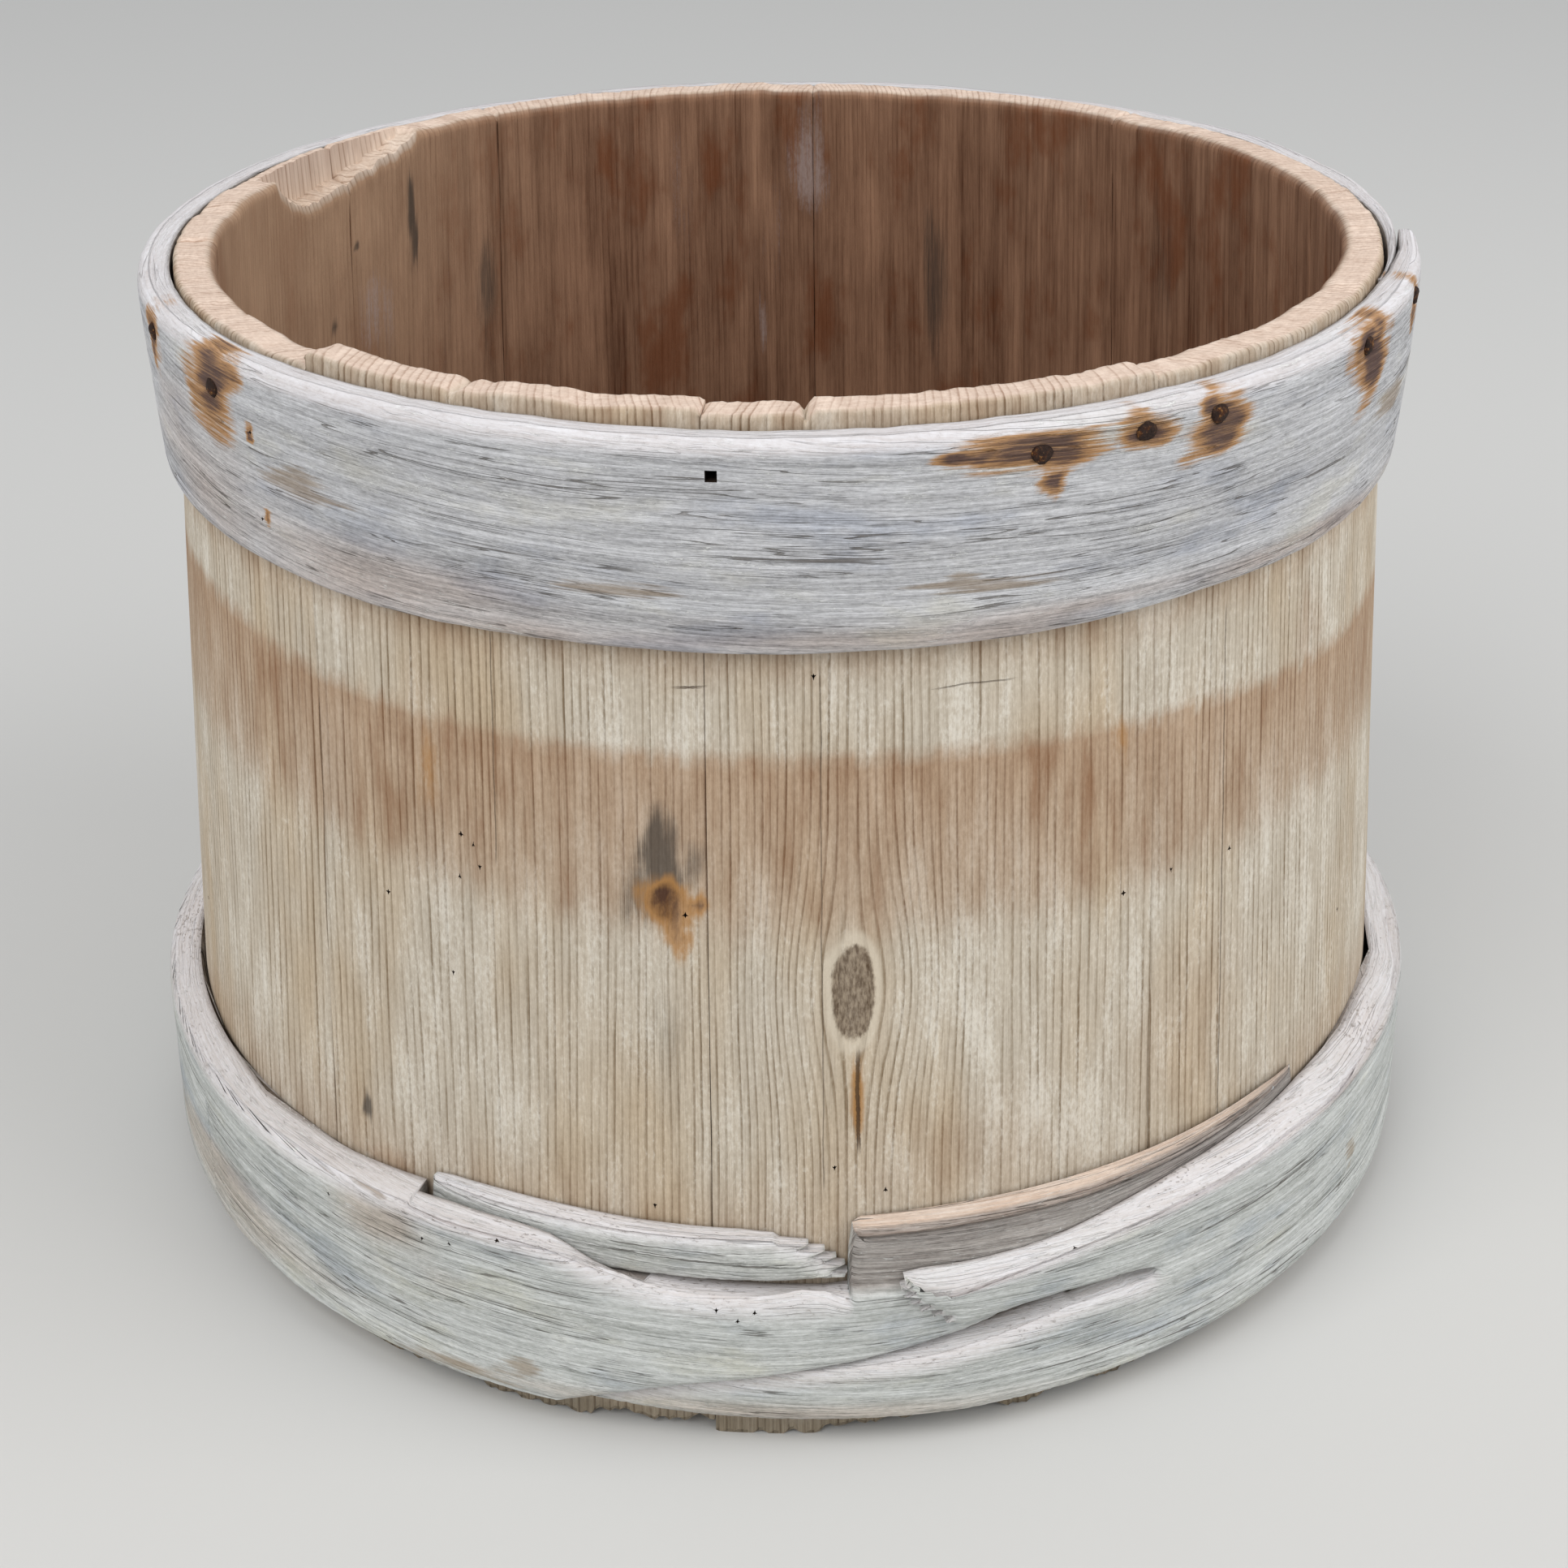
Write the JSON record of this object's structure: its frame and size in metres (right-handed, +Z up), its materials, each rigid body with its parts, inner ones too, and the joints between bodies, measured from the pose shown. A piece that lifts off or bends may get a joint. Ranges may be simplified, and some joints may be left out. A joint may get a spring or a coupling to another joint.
{
  "type": "coopered wooden bucket",
  "caption": "Round coopered bucket of tapered staves, wider at the foot, with a nailed bent-wood hoop at the rim and a hooked one at the foot.",
  "frame": {"origin": "middle of the foot, on the surface that the staves stand on", "axes": "+Z up along the bucket's axis, out of its mouth; -Y is the front, where the bottom hoop's ends hook together; +X is right, seen from the front"},
  "size_m": [0.3703, 0.3696, 0.2638],
  "materials": {
    "stave_wood": "weathered softwood, bare",
    "bottom_wood": "dark aged softwood, bare",
    "dowel_wood": "bare hardwood",
    "hoop_wood": "silver-grey weathered, bare",
    "rusty_iron": "rusted"
  },
  "bodies": {
    "root": {"stave_01": "stave_wood", "stave_02": "stave_wood", "stave_03": "stave_wood", "stave_04": "stave_wood", "stave_05": "stave_wood", "stave_06": "stave_wood", "stave_07": "stave_wood", "stave_08": "stave_wood", "stave_09": "stave_wood", "stave_10": "stave_wood", "bottom_board_left": "bottom_wood", "bottom_board_middle": "bottom_wood", "bottom_board_right": "bottom_wood", "bottom_dowels": "dowel_wood", "top_hoop": "hoop_wood", "bottom_hoop": "hoop_wood", "bottom_hoop_tail": "hoop_wood", "lap_nails": "rusty_iron", "left_nails": "rusty_iron"}
  },
  "joints": []
}
